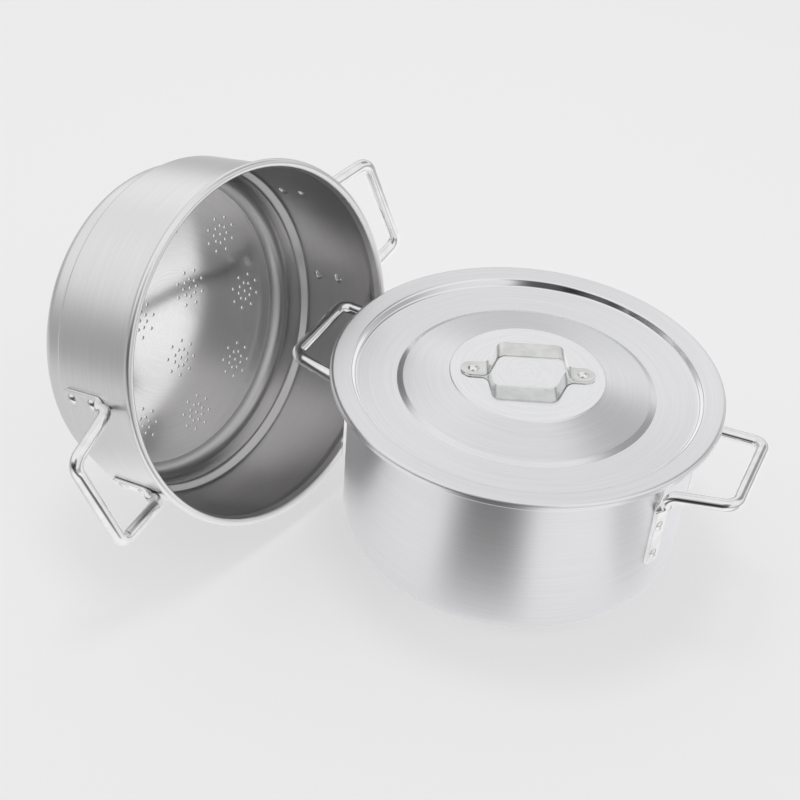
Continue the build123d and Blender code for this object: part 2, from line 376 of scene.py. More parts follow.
def carried(path: Array, across: Array, through: Array, sections: Array) -> Surface:
    """Carries sections along a path and closes both ends.

    Each section point is the path's point, plus its first coordinate along the across axis, plus
    its second along the through axis. The flat coordinates are the length along the path and the
    share of the way round the section.

    Args:
        path: the stations' points.
        across: each station's width axis.
        through: each station's thickness axis.
        sections: stations by points by two coordinates.

    Returns:
        The closed surface.
    """
    rings = path[:, None] + sections[..., :1] * across[:, None] + sections[..., 1:] * through[:, None]
    count = sections.shape[1]
    caps = [np.repeat(path[end][None, None], count, axis=1) for end in (0, -1)]
    rings = np.concatenate([caps[0], rings, caps[1]])
    length = np.pad(walked_length(path), 1, mode="edge")
    share = np.linspace(0.0, 1.0, count + 1)
    flat = np.stack(np.broadcast_arrays(length[:, None], share[None, :]), axis=-1)
    return grid(rings, flat, False, True)


def place_of(origin: Array, x_axis: Array, y_axis: Array, z_axis: Array) -> Array:
    """Returns the four by four place with these axes at this origin."""
    place = np.eye(4)
    place[:3, 0], place[:3, 1], place[:3, 2], place[:3, 3] = x_axis, y_axis, z_axis, origin
    return place


def turned(degrees: float, height: float = 0.0, radius: float = 0.0) -> Array:
    """Returns the place turned about Z, then moved out by a radius and up by a height."""
    angle = np.radians(degrees)
    out = np.array([np.cos(angle), np.sin(angle), 0.0])
    return place_of(out * radius + UP * height, out, np.cross(UP, out), UP)


# Finishes


def operator(operation: str, reflected: bool = False) -> "Callable[[Value, Number], Value]":
    """Returns a method that adds a Math node.

    Args:
        operation: the node's operation.
        reflected: whether the value stands on the operator's right.
    """

    def method(self: "Value", other: Number) -> "Value":
        """Adds the node and returns its result."""
        return self.math(operation, *((other, self) if reflected else (self, other)))

    return method


class Value:
    """A number from a node's socket, on which Python's operators add Math nodes."""

    def __init__(self, shader: "Shader", socket: Socket) -> None:
        """Keeps the shader and the socket."""
        self.shader = shader
        self.socket = socket

    def math(self, operation: str, *values: Number) -> "Value":
        """Adds a Math node of an operation on the given values and returns its result."""
        node = self.shader.node("Math", {"operation": operation}, dict(enumerate(values)))
        return Value(self.shader, node.outputs[0])

    __add__ = __radd__ = operator("ADD")
    __sub__ = operator("SUBTRACT")
    __rsub__ = operator("SUBTRACT", True)
    __mul__ = __rmul__ = operator("MULTIPLY")
    __truediv__ = operator("DIVIDE")
    __rtruediv__ = operator("DIVIDE", True)
    __pow__ = operator("POWER")

    def cosine(self) -> "Value":
        """Returns the cosine."""
        return self.math("COSINE", self)

    def sine(self) -> "Value":
        """Returns the sine."""
        return self.math("SINE", self)

    def step(self, start: float, end: float) -> "Value":
        """Returns an even rise from 0 at start to 1 at end."""
        values = {"Value": self, "From Min": start, "From Max": end}
        node = self.shader.node("MapRange", {"interpolation_type": "SMOOTHSTEP"}, values)
        return Value(self.shader, node.outputs[0])


class Shader:
    """A material or a world, and its nodes."""

    def __init__(self, owner: "Material | World") -> None:
        """Clears the owner's nodes."""
        owner.use_nodes = True
        self.owner = owner
        self.nodes = owner.node_tree.nodes
        self.links = owner.node_tree.links
        self.nodes.clear()

    def node(
        self, kind: str, settings: dict[str, object], values: "dict[str | int, object]"
    ) -> Node:
        """Adds a node.

        Args:
            kind: the node's type, after the prefix that all have.
            settings: its properties, which are set first.
            values: its sockets' values or links, by name or number.

        Returns:
            The node.
        """
        node = self.nodes.new(f"ShaderNode{kind}")
        for name, value in settings.items():
            setattr(node, name, value)
        for name, value in values.items():
            socket = node.inputs[name]
            if isinstance(value, Value):
                self.links.new(value.socket, socket)
            elif isinstance(value, Socket):
                self.links.new(value, socket)
            else:
                socket.default_value = value
        return node

    def part(self, node: Node, name: "str | int") -> Value:
        """Returns one of a node's outputs as a value."""
        return Value(self, node.outputs[name])

    def split(self, vector: Socket) -> tuple[Value, Value, Value]:
        """Returns a vector's three parts."""
        node = self.node("SeparateXYZ", {}, {0: vector})
        return self.part(node, 0), self.part(node, 1), self.part(node, 2)

    def flat(self) -> tuple[Value, Value]:
        """Returns the two flat coordinates."""
        return self.split(self.node("UVMap", {"uv_map": "UVMap"}, {}).outputs[0])[:2]

    def place(self) -> tuple[Value, Value, Value]:
        """Returns the object's own three coordinates."""
        return self.split(self.node("TexCoord", {}, {}).outputs["Object"])

    def noise(
        self, x: Number, y: Number, z: Number, scale: float, detail: float
    ) -> Value:
        """Returns noise at a point.

        Args:
            x: the first coordinate.
            y: the second coordinate.
            z: the third coordinate.
            scale: how many cells a unit holds.
            detail: how many finer layers are added.
        """
        point = self.node("CombineXYZ", {}, {0: x, 1: y, 2: z}).outputs[0]
        values = {"Vector": point, "Scale": scale, "Detail": detail}
        return self.part(self.node("TexNoise", {}, values), 0)

    def value(self, number: float) -> Value:
        """Returns a number as a value."""
        node = self.node("Math", {"operation": "ADD"}, {0: number, 1: 0.0})
        return self.part(node, 0)

    def scaled(self, colour: Socket, amount: Value) -> Socket:
        """Returns a colour times a value."""
        node = self.node("VectorMath", {"operation": "SCALE"}, {0: colour, "Scale": amount})
        return node.outputs[0]

    def blend(self, share: Value, first: Sequence[float], second: Sequence[float]) -> Socket:
        """Returns a colour between two, by share."""
        values = {0: share, 6: (*first, 1.0), 7: (*second, 1.0)}
        return self.node("Mix", {"data_type": "RGBA"}, values).outputs[2]

    def finished(self, values: dict[str, object]) -> Material:
        """Adds a Principled surface with these values and returns the material."""
        surface = self.node("BsdfPrincipled", {}, values)
        self.node("OutputMaterial", {}, {"Surface": surface.outputs[0]})
        return self.owner


@dataclass(frozen=True)
class Zone:
    """A stretch of a spun sheet with a finish of its own, or with painted shade darkening its colour.

    Args:
        start: the second flat coordinate at which it begins.
        end: the one at which it ends.
        roughness: its roughness.
        tone: how bright its colour is beside the rest; below 1 this darkening is painted shade.
    """

    start: float
    end: float
    roughness: float
    tone: float = 1.0

    def share(self, length: Value) -> Value:
        """Returns 1 inside the stretch and 0 outside, with soft ends."""
        rising = length.step(self.start, self.start + ZONE_EDGE)
        return rising * (1.0 - length.step(self.end - ZONE_EDGE, self.end))


@dataclass(frozen=True)
class Finish:
    """What every metal finish has.

    Args:
        name: the material's name.
        dark: the colour of its duller streaks or patches.
        light: the colour of its bright ones.
        roughness: the middle roughness.
    """

    name: str
    dark: tuple[float, float, float]
    light: tuple[float, float, float]
    roughness: float


@dataclass(frozen=True)
class Metal(Finish):
    """Polished or brushed aluminium.

    Args:
        grain: how far the roughness varies with the grooves.
        around: how many grooves' ends a turn has.
        fineness: how many grooves lie in a metre.
        depth: how strong the grooves' relief is.
        stretch: how far the gloss spreads across the grooves, on pieces that turn about Z.
        zones: the stretches that are finished in another way, or darkened as painted shade.
    """

    grain: float = 0.06
    around: float = 2.2
    fineness: float = 900.0
    depth: float = 0.04
    stretch: float = 0.0
    zones: tuple[Zone, ...] = ()

    def made(self) -> Material:
        """Builds the material: streaks along the grooves vary its colour, roughness and relief, zones set
        their own roughness, and zones with a tone below 1 darken the colour as painted shade.
        """
        shader = Shader(bpy.data.materials.new(self.name))
        turn, length = shader.flat()
        angle = turn * TAU
        x, y = angle.cosine() * self.around, angle.sine() * self.around
        streaks = shader.noise(x, y, length * self.fineness, 1.0, 4.0)
        drift = shader.noise(x * DRIFT_SHARE, y * DRIFT_SHARE, length * DRIFT_FINENESS, 1.0, 2.0)
        roughness = self.roughness + (streaks - 0.5) * self.grain + (drift - 0.5) * self.grain * DRIFT_GRAIN
        # Painted shade: zones with a tone below 1 darken the colour.
        tone = shader.value(1.0)
        for zone in self.zones:
            share = zone.share(length)
            roughness = roughness * (1.0 - share) + share * zone.roughness
            tone = tone * (1.0 - share * (1.0 - zone.tone))
        colour = shader.scaled(shader.blend(streaks.step(0.25, 0.75), self.dark, self.light), tone)
        grooves = {"Height": streaks, "Strength": self.depth, "Distance": GROOVE_DEPTH}
        return shader.finished(
            {
                "Base Color": colour,
                "Metallic": 1.0,
                "Roughness": roughness,
                "Normal": shader.node("Bump", {}, grooves).outputs[0],
                "Anisotropic": self.stretch,
                "Anisotropic Rotation": STRETCH_TURN,
            }
        )


@dataclass(frozen=True)
class Rod(Finish):
    """Drawn and polished rod or strap, with faint lines along it.

    Args:
        wear: how far the roughness varies.
    """

    wear: float

    def made(self) -> Material:
        """Builds the material: long faint lines and soft patches vary its colour and roughness."""
        shader = Shader(bpy.data.materials.new(self.name))
        length, share = shader.flat()
        angle = share * TAU
        lines = shader.noise(angle.cosine() * 9.0, angle.sine() * 9.0, length * 18.0, 1.0, 3.0)
        x, y, z = shader.place()
        patches = shader.noise(x, y, z, 90.0, 2.0)
        roughness = self.roughness + (lines - 0.5) * self.wear + (patches - 0.5) * self.wear
        colour = shader.blend(patches.step(0.3, 0.7), self.dark, self.light)
        return shader.finished({"Base Color": colour, "Metallic": 1.0, "Roughness": roughness})


def linked(name: str, data: bpy.types.ID) -> Piece:
    """Returns a new object that holds the data, linked to the scene."""
    made = bpy.data.objects.new(name, data)
    bpy.context.scene.collection.objects.link(made)
    return made


def make_piece(
    name: str, surface: Surface, finish: Material, node: str, body: str
) -> Piece:
    """Makes a piece that stands for one of the frame's nodes.

    Args:
        name: the piece's name.
        surface: its shape, in place.
        finish: its material.
        node: the node that it stands for.
        body: the body that it rides on.

    Returns:
        The piece.
    """
    mesh = bpy.data.meshes.new(name)
    mesh.vertices.add(len(surface.points))
    mesh.vertices.foreach_set("co", surface.points.ravel())
    mesh.loops.add(len(surface.corners))
    mesh.loops.foreach_set("vertex_index", surface.corners.astype(np.int32))
    mesh.polygons.add(len(surface.sizes))
    mesh.polygons.foreach_set("loop_start", (np.cumsum(surface.sizes) - surface.sizes).astype(np.int32))
    mesh.uv_layers.new(name="UVMap").data.foreach_set("uv", surface.flat.ravel())
    mesh.update(calc_edges=True)
    welded = bmesh.new()
    welded.from_mesh(mesh)
    bmesh.ops.remove_doubles(welded, verts=welded.verts, dist=WELD)
    bmesh.ops.dissolve_degenerate(welded, edges=welded.edges, dist=SHORTEST_EDGE)
    welded.to_mesh(mesh)
    welded.free()
    mesh.shade_smooth()
    mesh.set_sharp_from_angle(angle=SHARP)
    mesh.materials.append(finish)
    piece = linked(name, mesh)
    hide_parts(node)
    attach(piece, body)
    LOG.info("%s: %d points, %d faces", name, len(mesh.vertices), len(mesh.polygons))
    return piece


def leave_out_of_reflections(piece: Piece) -> None:
    """Keeps a piece out of the other pieces' reflections, as the photograph's parts were taken one by one."""
    piece.visible_glossy = False


# Rivets


@dataclass
class Rivet:
    """A domed rivet along Z, its head seated on level zero.

    Args:
        grip: how far the low head lies below.
    """

    grip: float
    shank: float = 0.0024
    head: float = 0.0050
    head_rise: float = 0.0026
    tail: float = TAIL_RADIUS
    tail_rise: float = 0.0012
    fit: float = FIT

    def cap(self, radius: float, rise: float) -> Array:
        """Returns a low dome's section from its middle out.

        The dome's sphere has radius (r squared plus h squared) over 2 h. At angle a the point lies
        at that radius times sin(a), and that radius times (1 - cos(a)) below the top.

        Args:
            radius: the dome's outer radius.
            rise: the dome's height.
        """
        ball = (radius * radius + rise * rise) / (2.0 * rise)
        angle = np.linspace(0.0, np.arcsin(radius / ball), DOME_STEPS)
        return np.stack([ball * np.sin(angle), rise - ball * (1.0 - np.cos(angle))], axis=1)

    def surface(self) -> Surface:
        """Returns the rivet's shape: both domes and the shank, turned about Z."""
        seat = np.array([0.0, self.fit])
        tail_seat = np.array([0.0, -self.grip - self.fit])
        head = self.cap(self.head, self.head_rise) + seat
        tail = self.cap(self.tail, self.tail_rise)[::-1] * [1.0, -1.0] + tail_seat
        shank = np.array([[self.shank, 0.0]])
        outline = np.vstack([head, shank + seat, shank + tail_seat, tail])
        return lathe(outline, SECTION_SIDES, False).outward()


# Side handles


@dataclass
class SideHandle:
    """A rod bent into a rectangle, its ends flattened against a vessel's wall.

    Args:
        plate_length: how long each flattened end is below its taper.
        rivet_edge: how far its upper rivet lies below the taper.
    """

    plate_length: float
    rivet_edge: float
    wall_radius: float = VESSEL_RADIUS
    wall: float = SHEET
    fit: float = FIT
    rod: float = 0.0055
    root: float = 0.0496
    bar: float = 0.0454
    reach: float = 0.0491
    rise: float = 0.0077
    bend: float = 0.011
    root_bend: float = 0.008
    drop: float = 0.0085
    taper: float = 0.008
    plate: float = 0.003
    plate_width: float = 0.016
    plate_round: float = 0.005
    rivet_end_edge: float = 0.010
    tail: float = TAIL_RADIUS

    def root_angle(self) -> float:
        """Returns the angle between the handle's middle and each leg at the wall."""
        return float(np.arcsin(self.root / self.wall_radius))

    def line(self) -> Array:
        """Returns the rod's centre line, from one plate's end to the other's."""
        out = self.wall_radius + self.fit + self.rod
        x, y = out * np.cos(self.root_angle()), out * np.sin(self.root_angle())
        end = -self.drop - self.taper - self.plate_length
        half = np.array([[x, y, end], [x, y, 0.0], [self.wall_radius + self.reach, self.bar, self.rise]])
        corners = np.vstack([half * [1.0, -1.0, 1.0], half[::-1]])
        bends = [self.root_bend, self.bend, self.bend, self.root_bend]
        return rounded_line(corners, bends, FINE_STEP)

    def surface(self) -> Surface:
        """Returns the handle's shape about Z, pointing along X, level zero at its legs' roots.

        The section goes from a circle to a rounded rectangle over the taper, while its centre
        moves in to the wall. The width axis is Z crossed with the line's direction, and at the
        plates it lies along the wall.
        """
        line = self.line()
        walked = walked_length(line)
        from_end = np.minimum(walked, walked[-1] - walked)
        ahead = unit(np.gradient(line, walked, axis=0))
        side = np.where(walked < walked[-1] / 2.0, -1.0, 1.0)
        angle = self.root_angle()
        outward = np.stack([np.full_like(side, np.cos(angle)), side * np.sin(angle), 0.0 * side], axis=1)
        along_wall = -side[:, None] * np.cross(UP, outward)
        level = np.cross(UP, ahead)
        length = np.linalg.norm(level, axis=1, keepdims=True)
        rod_axis = np.where(length > 0.05, level / np.maximum(length, TINY), along_wall)
        free = smooth((from_end - self.plate_length - self.taper) / 0.003)[:, None]
        across = unit(along_wall * (1.0 - free) + rod_axis * free)
        through = np.cross(across, ahead)
        flatness = 1.0 - smooth((from_end - self.plate_length) / self.taper)
        width = 2.0 * self.rod + (self.plate_width - 2.0 * self.rod) * flatness
        short = np.clip(self.plate_round - from_end, 0.0, self.plate_round)
        width = width - 2.0 * (self.plate_round - np.sqrt(self.plate_round ** 2 - short ** 2))
        thickness = 2.0 * self.rod + (self.plate - 2.0 * self.rod) * flatness
        sections = oval(width, thickness, 2.0 + 8.0 * flatness, SECTION_SIDES)
        inset = (self.rod - self.plate / 2.0) * flatness[:, None]
        return carried(line - outward * inset, across, through, sections).outward()

    def rivet_places(self) -> dict[str, Array]:
        """Returns the place of each of the handle's rivets, by leg and level."""
        top = -self.drop - self.taper
        levels = {"upper": top - self.rivet_edge, "lower": top - self.plate_length + self.rivet_end_edge}
        places = {}
        for leg, side in (("near", -1.0), ("far", 1.0)):
            angle = side * self.root_angle()
            outward = np.array([np.cos(angle), np.sin(angle), 0.0])
            for level, height in levels.items():
                origin = outward * (self.wall_radius + self.fit + self.plate) + UP * height
                places[f"{leg}_{level}"] = place_of(origin, UP, np.cross(outward, UP), outward)
        return places

    def rivet(self) -> Surface:
        """Returns a rivet through the plate, the wall and the wall's hollow behind the low head."""
        inner = self.wall_radius - self.wall
        hollow = inner - np.sqrt(inner ** 2 - self.tail ** 2)
        return Rivet(self.fit + self.plate + self.wall + float(hollow)).surface()


@dataclass
class Vessel:
    """A spun vessel with two side handles: the pot or the steamer insert.

    Args:
        name: the prefix of its nodes.
        height: from its base to the top of its rim.
        handle_height: the level of its handles' roots.
        handle_turn: the direction of its first handle in degrees.
        sides: the names of its handles.
        handle: the handle that it carries twice.
        place: where it stands.
    """

    name: str
    height: float
    handle_height: float
    handle_turn: float
    sides: tuple[str, str]
    handle: SideHandle
    place: Array = field(default_factory=lambda: np.eye(4))
    radius: float = VESSEL_RADIUS
    wall: float = SHEET
    rim: float = RIM_RADIUS
    flare: float = 0.0015
    flare_height: float = 0.009
    flare_bend: float = 0.012
    tuck: float = TUCK
    turn_sides: int = 320

    def rim_centre(self) -> Array:
        """Returns the radius and height of the rolled rim's centre."""
        out = self.radius - self.wall + self.flare + self.rim - self.tuck
        return np.array([out, self.height - self.rim])

    def outline(self, foot: Sequence[tuple[float, float]], bends: Sequence[float]) -> Array:
        """Returns the closed section of the wall with its flare and rolled rim.

        Args:
            foot: corner points of the outer line below the straight wall's top.
            bends: the inside radius at each of those corners after the first.
        """
        rim_height = self.height - self.rim
        top = [(self.radius, rim_height - self.flare_height), (self.radius + self.flare, rim_height)]
        points = np.array([*foot, *top])
        face, back = bent_sheet(points, self.wall, [*bends, self.flare_bend], COARSE_STEP)
        return rolled_outline(face, back, self.rim_centre(), self.rim, Bead.ANTICLOCKWISE)

    def fit_handles(self, rod: Material, rivet: Material, body: str) -> None:
        """Adds the handles and their rivets, in these materials, on a body."""
        shape = self.handle.surface()
        small = self.handle.rivet()
        for number, side in enumerate(self.sides):
            seat = self.place @ turned(self.handle_turn + 180.0 * number, self.handle_height)
            node = f"{self.name}_handle_{side}"
            make_piece(f"{node}_bent_rod", shape.placed(seat), rod, node, body)
            for level, spot in self.handle.rivet_places().items():
                node = f"{self.name}_rivet_{side}_{level}"
                make_piece(f"{node}_domed", small.placed(seat @ spot), rivet, node, body)


@dataclass
class Pot(Vessel):
    """The pot: a straight wall on a rounded base corner."""

    corner: float = 0.0187

    def build(self, sheet: Material) -> None:
        """Adds the pot's spun shell in a sheet material."""
        outline = self.outline([(0.0, 0.0), (self.radius, 0.0)], [self.corner])
        shell = lathe(outline, self.turn_sides, False).outward()
        shell = shell.placed(self.place)
        leave_out_of_reflections(
            make_piece("pot_shell_spun", shell, sheet, "pot_shell", "pot")
        )


@dataclass
class Steamer(Vessel):
    """The steamer insert: a skirt that drops into the pot, a shoulder, and a base with steam holes."""

    nest_gap: float = 0.005
    skirt_height: float = 0.028
    shoulder_rise: float = 0.004
    shoulder_bend: float = 0.002
    corner: float = 0.013
    hole: float = 0.0017
    hole_rings: tuple[float, float] = (0.008, 0.016)
    holes_in_ring: int = 8
    cluster_rings: tuple[tuple[int, float], ...] = ((3, 0.037), (9, 0.096))
    cluster_turn: float = -117.0
    hole_sides: int = 14
    hole_core: float = 0.955
    hole_margin: float = 1.5
    net: float = 0.005

    def wall_surface(self) -> Surface:
        """Returns the shell's wall, from the flat base's edge up to the rim and back."""
        skirt = self.radius - self.wall - self.nest_gap
        shoulder = self.skirt_height + self.shoulder_rise
        foot = [(0.0, 0.0), (skirt, 0.0), (skirt, self.skirt_height), (self.radius, shoulder)]
        outline = self.outline(foot, [self.corner, self.shoulder_bend, self.shoulder_bend])
        edge = skirt - self.corner - self.wall
        kept = outline[outline[:, 0] >= edge - 1e-6]
        ends = np.array([[edge, 0.0], [edge, self.wall]])
        kept = kept[np.linalg.norm(kept - ends[0], axis=1) > 1e-5]
        kept = kept[np.linalg.norm(kept - ends[1], axis=1) > 1e-5]
        return lathe(np.vstack([ends[:1], kept, ends[1:]]), self.turn_sides, False)

    def hole_centres(self) -> Array:
        """Returns the steam holes' centres: a middle hole and two staggered rings in each cluster."""
        step = TAU / self.holes_in_ring
        around = np.arange(self.holes_in_ring) * step
        inner, outer = self.hole_rings
        rings = [inner * on_circle(around), outer * on_circle(around + step / 2.0)]
        spots = np.vstack([np.zeros((1, 2)), *rings])[None]
        centres = []
        for count, radius in self.cluster_rings:
            out = on_circle(np.radians(self.cluster_turn) + even_turn(count))[:, None]
            side = np.stack([-out[..., 1], out[..., 0]], axis=-1)
            centres.append((out * radius + spots[..., :1] * out + spots[..., 1:] * side).reshape(-1, 2))
        return np.vstack(centres)

    def base_surface(self) -> Surface:
        """Returns the flat base with its holes: one flat net above and one below, joined in each hole."""
        edge = self.radius - self.wall - self.nest_gap - self.corner - self.wall
        rim = edge * on_circle(even_turn(self.turn_sides))
        centres = self.hole_centres()
        rings = centres[:, None] + self.hole * on_circle(even_turn(self.hole_sides))[None]
        points = np.vstack([rim, rings.reshape(-1, 2), self.filling(edge, centres)])
        count = self.turn_sides
        outer = np.stack([np.arange(count), (np.arange(count) + 1) % count], axis=1)
        start = count + self.hole_sides * np.arange(len(centres))[:, None]
        step = np.arange(self.hole_sides)[None]
        holes = np.stack([start + step, start + (step + 1) % self.hole_sides], axis=-1).reshape(-1, 2)
        edges = [tuple(map(int, pair)) for pair in np.vstack([outer, holes])]
        verts, _, faces, *_ = delaunay_2d_cdt([Vector(point) for point in points], edges, [], 0, 1e-9)
        net = np.array([tuple(vert) for vert in verts])
        triangles = np.array(faces, dtype=np.int64)
        middles = net[triangles].mean(axis=1)
        triangles = triangles[self.nearest_hole(middles, centres) > self.hole * self.hole_core]
        sheets = [self.flat_sheet(net, triangles, height) for height in (0.0, self.wall)]
        base = sheets[0].turned_over().joined(sheets[1])
        for ring in rings:
            bore = np.stack([ring, ring])
            levels = np.broadcast_to(np.array([0.0, self.wall])[:, None, None], (2, self.hole_sides, 1))
            tube = np.concatenate([bore, levels], axis=-1)
            # The bores' flat coordinates are all zero, so the insert's finish darkens them as painted shade
            # in the holes.
            flat = np.zeros((2, self.hole_sides + 1, 2))
            base = base.joined(grid(tube, flat, False, True).turned_over())
        return base

    def filling(self, edge: float, centres: Array) -> Array:
        """Returns points on even rings out to the flat part's edge, clear of the holes' centres."""
        rings = []
        for radius in np.arange(self.net, edge - self.net / 2.0, self.net):
            rings.append(radius * on_circle(even_turn(int(TAU * radius / self.net))))
        spots = np.vstack(rings)
        return spots[self.nearest_hole(spots, centres) > self.hole * self.hole_margin]

    def nearest_hole(self, spots: Array, centres: Array) -> Array:
        """Returns each spot's distance from the nearest of the holes' centres."""
        return np.linalg.norm(spots[:, None] - centres[None], axis=-1).min(axis=1)

    def flat_sheet(self, net: Array, triangles: Index, height: float) -> Surface:
        """Returns a flat net of triangles at a height.

        Its flat coordinates are the turn, unwrapped within each triangle, and the radius less 1,
        so that a finish can tell it from the wall.
        """
        points = np.column_stack([net, np.full(len(net), height)])
        spot = net[triangles]
        turn = np.arctan2(spot[..., 1], spot[..., 0]) / TAU
        turn = turn + np.round(turn[:, :1] - turn)
        flat = np.stack([turn, np.linalg.norm(spot, axis=-1) - 1.0], axis=-1)
        sizes = np.full(len(triangles), 3, dtype=np.int64)
        return Surface(points, triangles.ravel(), sizes, flat.reshape(-1, 2))

    def build(self, sheet: Material) -> None:
        """Adds the steamer's pierced shell in a sheet material."""
        shell = self.wall_surface().outward().joined(self.base_surface()).placed(self.place)
        make_piece("steamer_shell_spun", shell, sheet, "steamer_shell", "steamer")


@dataclass
class Rest:
    """How the steamer insert lies: tipped, turned and let down onto the surface.

    Args:
        tilt: how far its mouth tips up, in degrees.
        heading: where its mouth points, in degrees from X.
        x: the rim centre's place across.
        y: the rim centre's place in depth.
        depth: from its rim to its base.
        base_height: the base centre's height.
    """

    tilt: float = 14.85
    heading: float = -34.71
    x: float = -0.2195
    y: float = 0.0015
    depth: float = STEAMER_HEIGHT
    base_height: float = 0.137294

    def place(self) -> Array:
        """Returns the four by four place of the insert's base centre and axes."""
        tilt, heading = np.radians(self.tilt), np.radians(self.heading)
        level = np.append(on_circle(heading), 0.0)
        mouthward = level * np.cos(tilt) + UP * np.sin(tilt)
        downward = level * np.sin(tilt) - UP * np.cos(tilt)
        origin = np.array([self.x, self.y, 0.0]) - mouthward * self.depth
        origin[2] = self.base_height
        return place_of(origin, downward, np.cross(mouthward, downward), mouthward)


# Lid


@dataclass
class Lid:
    """The lid: a dished middle with a glossy flat top, a sunk pan, a rolled edge and a strap handle."""

    pot_radius: float = VESSEL_RADIUS
    wall: float = SHEET
    pot_height: float = POT_HEIGHT
    rim: float = RIM_RADIUS
    rim_centre: float = 0.1538
    sheet: float = 0.0012
    radius: float = 0.168
    seat: float = 0.0003
    play: float = 0.0014
    edge: float = 0.002
    edge_drop: float = 0.0049
    tuck: float = TUCK
    flange_rise: float = 0.0025
    pan_flare: float = 0.003
    pan_depth: float = 0.0065
    floor_fall: float = 0.0022
    step_radius: float = 0.1057
    step_run: float = 0.0051
    step_rise: float = 0.0022
    cone_rise: float = 0.0082
    top_radius: float = 0.066
    top_run: float = 0.001
    top_rise: float = 0.0007
    fit: float = FIT
    strap: float = 0.002
    strap_width: float = 0.019
    strap_half: float = 0.0575
    strap_foot: float = 0.0335
    strap_bridge: float = 0.026
    strap_rise: float = 0.022
    strap_bend: float = 0.0065
    strap_rivet: float = 0.0465
    strap_turn: float = 1.5
    bends: tuple[float, ...] = (0.0005, 0.0005, 0.0012, 0.0012, 0.003, 0.002, 0.002)
    turn_sides: int = 360

    def points(self) -> Array:
        """Returns the corner points of the lid's upper line, from its centre out to its edge."""
        foot_radius = self.pot_radius - self.wall - self.play - self.sheet
        crest_radius = foot_radius + self.pan_flare
        slope = np.arctan2(self.flange_rise, self.radius - crest_radius)
        over_rim = self.pot_height - self.rim + (self.rim + self.seat + self.sheet) / np.cos(slope)
        crest = over_rim - (self.rim_centre - crest_radius) * np.tan(slope)
        brow = crest + self.flange_rise
        foot = crest - self.pan_depth
        floor = foot - self.floor_fall
        step = floor + self.step_rise
        cone = step + self.cone_rise
        top = cone + self.top_rise
        return np.array(
            [
                (0.0, top),
                (self.top_radius, top),
                (self.top_radius + self.top_run, cone),
                (self.step_radius, step),
                (self.step_radius + self.step_run, floor),
                (foot_radius, foot),
                (crest_radius, crest),
                (self.radius, brow),
                (self.radius, brow - self.edge_drop),
            ]
        )

    def build(self, sheet: Material) -> None:
        """Adds the lid's spun shell in a sheet material."""
        points = self.points()
        face, back = bent_sheet(points, -self.sheet, self.bends, 0.004)
        centre = np.array([self.radius - self.edge + self.tuck, points[-1, 1]])
        outline = rolled_outline(face, back, centre, self.edge, Bead.CLOCKWISE)
        shell = lathe(outline, self.turn_sides, False).outward()
        leave_out_of_reflections(make_piece("lid_shell_spun", shell, sheet, "lid_shell", "lid"))

    def strap_surface(self) -> Surface:
        """Returns the strap: a thin section with rounded feet, carried along the bridge's line."""
        raised = [-self.strap_bridge, self.strap_rise]
        half = np.array([[-self.strap_half, 0.0], [-self.strap_foot, 0.0], raised])
        corners = moved_corners(np.vstack([half, half[::-1] * [-1.0, 1.0]]), self.strap / 2.0)
        line = rounded_line(corners, [self.strap_bend + self.strap / 2.0] * 4, 0.0008)
        path = np.stack([line[:, 0], 0.0 * line[:, 0], line[:, 1]], axis=1)
        walked = walked_length(path)
        from_end = np.minimum(walked, walked[-1] - walked)
        foot = self.strap_width / 2.0
        short = np.clip(foot - from_end, 0.0, foot)
        width = 2.0 * np.sqrt(np.maximum(foot ** 2 - short ** 2, TINY))
        ahead = unit(np.gradient(path, walked, axis=0))
        across = np.broadcast_to(np.array([0.0, 1.0, 0.0]), path.shape)
        thickness, power = np.full_like(width, self.strap), np.full_like(width, 9.0)
        sections = oval(width, thickness, power, STRAP_SIDES)
        return carried(path, across, np.cross(ahead, across), sections).outward()

    def fit_handle(self, strap: Material, rivet: Material) -> None:
        """Adds the strap and its two rivets, in these materials."""
        top = float(self.points()[0, 1])
        bridge = self.strap_surface().placed(turned(self.strap_turn, top + self.fit))
        make_piece("lid_handle_strap", bridge, strap, "lid_handle", "lid")
        small = Rivet(self.fit + self.strap + self.sheet).surface()
        for side, x in (("left", -self.strap_rivet), ("right", self.strap_rivet)):
            along = place_of(np.array([x, 0.0, 0.0]), *np.eye(3))
            spot = turned(self.strap_turn, top + self.fit + self.strap) @ along
            node = f"lid_rivet_{side}"
            make_piece(f"{node}_domed", small.placed(spot), rivet, node, "lid")


# Studio


def cosines(outer: float, inner: float) -> tuple[float, float]:
    """Returns the cosines of two angles in degrees."""
    return float(np.cos(np.radians(outer))), float(np.cos(np.radians(inner)))


@dataclass(frozen=True)
class Patch:
    """A soft light or dark patch of the room around the object.

    Args:
        azimuth: its direction in degrees from X.
        elevation: its height above the horizon in degrees.
        inner: the angle from its middle within which it is full.
        outer: the angle from its middle at which it ends.
        amount: the share of light that it adds there, or takes when below zero.
    """

    azimuth: float
    elevation: float
    inner: float
    outer: float
    amount: float

    def factor(self, shader: Shader, direction: Socket) -> Value:
        """Returns its effect on a direction's light: 1 plus a smooth step on the angle's cosine."""
        turn, rise = np.radians(self.azimuth), np.radians(self.elevation)
        middle = (np.cos(turn) * np.cos(rise), np.sin(turn) * np.cos(rise), np.sin(rise))
        dot = shader.node("VectorMath", {"operation": "DOT_PRODUCT"}, {0: direction, 1: middle})
        edge, core = cosines(self.outer, self.inner)
        return 1.0 + shader.part(dot, "Value").step(edge, core) * self.amount


